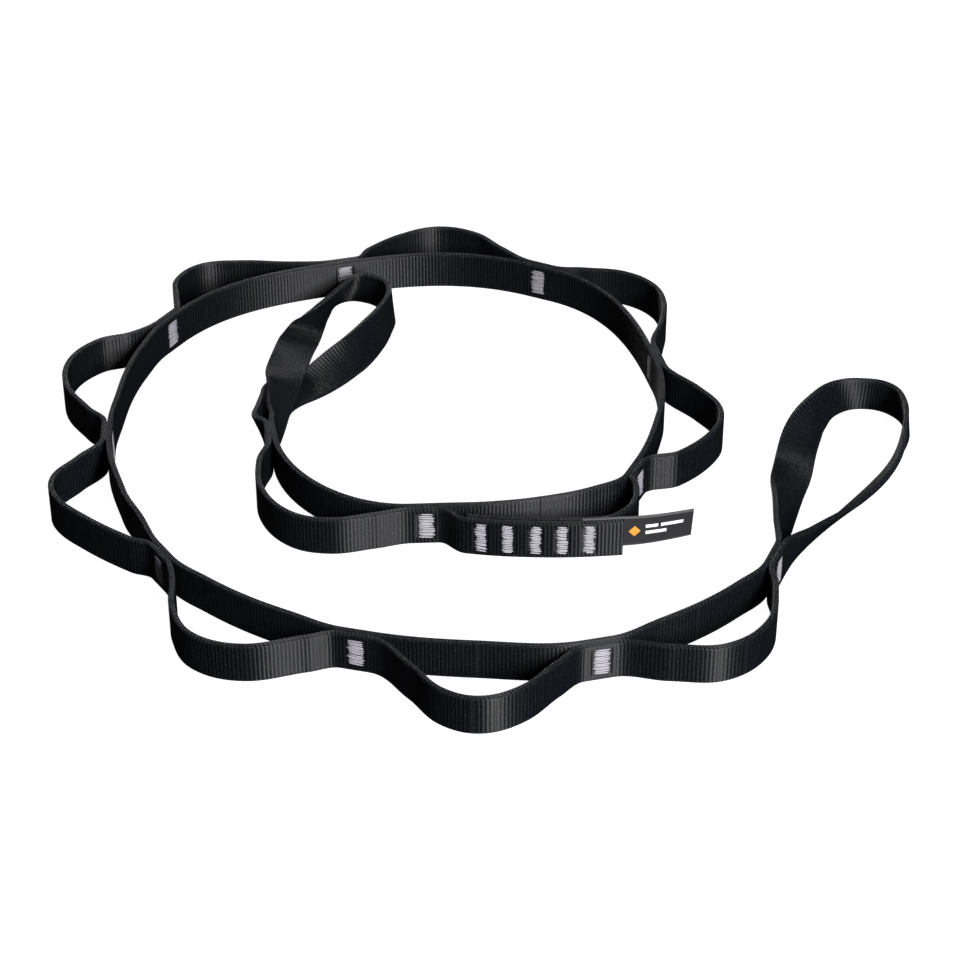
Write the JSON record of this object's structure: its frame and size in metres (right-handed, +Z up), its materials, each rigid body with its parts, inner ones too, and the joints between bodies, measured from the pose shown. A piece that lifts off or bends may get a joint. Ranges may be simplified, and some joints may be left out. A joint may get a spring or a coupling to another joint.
{
  "type": "daisy chain sling",
  "caption": "Sewn flat-webbing daisy chain sling standing on edge in an open coil, with bar-tacked pockets, a larger loop at each end and a folded label.",
  "frame": {"origin": "centre of the outline, on the plane the webbing's lower edges stand on", "axes": "+X along the longer side of the coil, to the outer end loop; +Z up, across the webbing's width; +Y away from the overlap and label"},
  "size_m": [0.3442, 0.3242, 0.0208],
  "materials": {
    "webbing": "tight ribbed weave with a soft sheen",
    "tack_thread": "satin-stitched polyester thread",
    "label": "smooth woven ribbon"
  },
  "bodies": {
    "end_loop_a": {"end_loop_a": "webbing", "bar_tack_01": "tack_thread"},
    "link_01": {"spine_strap_01": "webbing", "pocket_strap_01": "webbing", "bar_tack_02": "tack_thread"},
    "link_02": {"spine_strap_02": "webbing", "pocket_strap_02": "webbing", "bar_tack_03": "tack_thread"},
    "link_03": {"spine_strap_03": "webbing", "pocket_strap_03": "webbing", "bar_tack_04": "tack_thread"},
    "link_04": {"spine_strap_04": "webbing", "pocket_strap_04": "webbing", "bar_tack_05": "tack_thread"},
    "link_05": {"spine_strap_05": "webbing", "pocket_strap_05": "webbing", "bar_tack_06": "tack_thread"},
    "link_06": {"spine_strap_06": "webbing", "pocket_strap_06": "webbing", "bar_tack_07": "tack_thread"},
    "link_07": {"spine_strap_07": "webbing", "pocket_strap_07": "webbing", "bar_tack_08": "tack_thread"},
    "link_08": {"spine_strap_08": "webbing", "pocket_strap_08": "webbing", "bar_tack_09": "tack_thread"},
    "link_09": {"spine_strap_09": "webbing", "pocket_strap_09": "webbing", "bar_tack_10": "tack_thread"},
    "link_10": {"spine_strap_10": "webbing", "pocket_strap_10_rear": "webbing", "pocket_strap_10_front": "webbing", "bar_tack_11": "tack_thread", "label_tab": "label", "lap_tack_1": "tack_thread", "lap_tack_2": "tack_thread", "lap_tack_3": "tack_thread", "lap_tack_4": "tack_thread", "lap_tack_5": "tack_thread"},
    "link_11": {"spine_strap_11": "webbing", "pocket_strap_11": "webbing", "bar_tack_12": "tack_thread"},
    "end_loop_b": {"end_loop_b": "webbing"},
    "label": {"label_flap": "label"}
  },
  "joints": [
    {"name": "flex_06", "type": "hinge", "parent": "link_06", "child": "link_05", "pos_m": [-0.12993, 0.09136, 0.008], "axis": [0, 0, -1], "range_deg": [-7, 16]},
    {"name": "flex_05", "type": "hinge", "parent": "link_05", "child": "link_04", "pos_m": [-0.14972, 0.00819, 0.008], "axis": [0, 0, -1], "range_deg": [-7, 16]},
    {"name": "flex_04", "type": "hinge", "parent": "link_04", "child": "link_03", "pos_m": [-0.12267, -0.07269, 0.008], "axis": [0, 0, -1], "range_deg": [-5, 16]},
    {"name": "flex_03", "type": "hinge", "parent": "link_03", "child": "link_02", "pos_m": [-0.05081, -0.12394, 0.008], "axis": [0, 0, -1], "range_deg": [-3, 16]},
    {"name": "flex_02", "type": "hinge", "parent": "link_02", "child": "link_01", "pos_m": [0.03619, -0.13126, 0.008], "axis": [0, 0, -1], "range_deg": [-3, 16]},
    {"name": "flex_01", "type": "hinge", "parent": "link_01", "child": "end_loop_a", "pos_m": [0.10581, -0.08279, 0.008], "axis": [0, 0, -1], "range_deg": [-5, 16]},
    {"name": "flex_07", "type": "hinge", "parent": "link_06", "child": "link_07", "pos_m": [-0.05574, 0.13385, 0.008], "axis": [0, 0, 1], "range_deg": [-7, 8]},
    {"name": "flex_08", "type": "hinge", "parent": "link_07", "child": "link_08", "pos_m": [0.02895, 0.1268, 0.008], "axis": [0, 0, 1], "range_deg": [-1, 8]},
    {"name": "flex_09", "type": "hinge", "parent": "link_08", "child": "link_09", "pos_m": [0.07141, 0.05493, 0.008], "axis": [0, 0, 1], "range_deg": [-1, 14]},
    {"name": "flex_10", "type": "hinge", "parent": "link_09", "child": "link_10", "pos_m": [0.05654, -0.02671, 0.008], "axis": [0, 0, 1], "range_deg": [-1, 16]},
    {"name": "flex_11", "type": "hinge", "parent": "link_10", "child": "link_11", "pos_m": [-0.02745, -0.04877, 0.008], "axis": [0, 0, 1], "range_deg": [-7, 12]},
    {"name": "flex_12", "type": "hinge", "parent": "link_11", "child": "end_loop_b", "pos_m": [-0.08546, 0.00812, 0.008], "axis": [0, 0, 1], "range_deg": [-7, 2]},
    {"name": "label_flex", "type": "hinge", "parent": "link_10", "child": "label", "pos_m": [0.05254, -0.05617, 0.0095], "axis": [0, 0, -1], "range_deg": [-15, 40]}
  ]
}
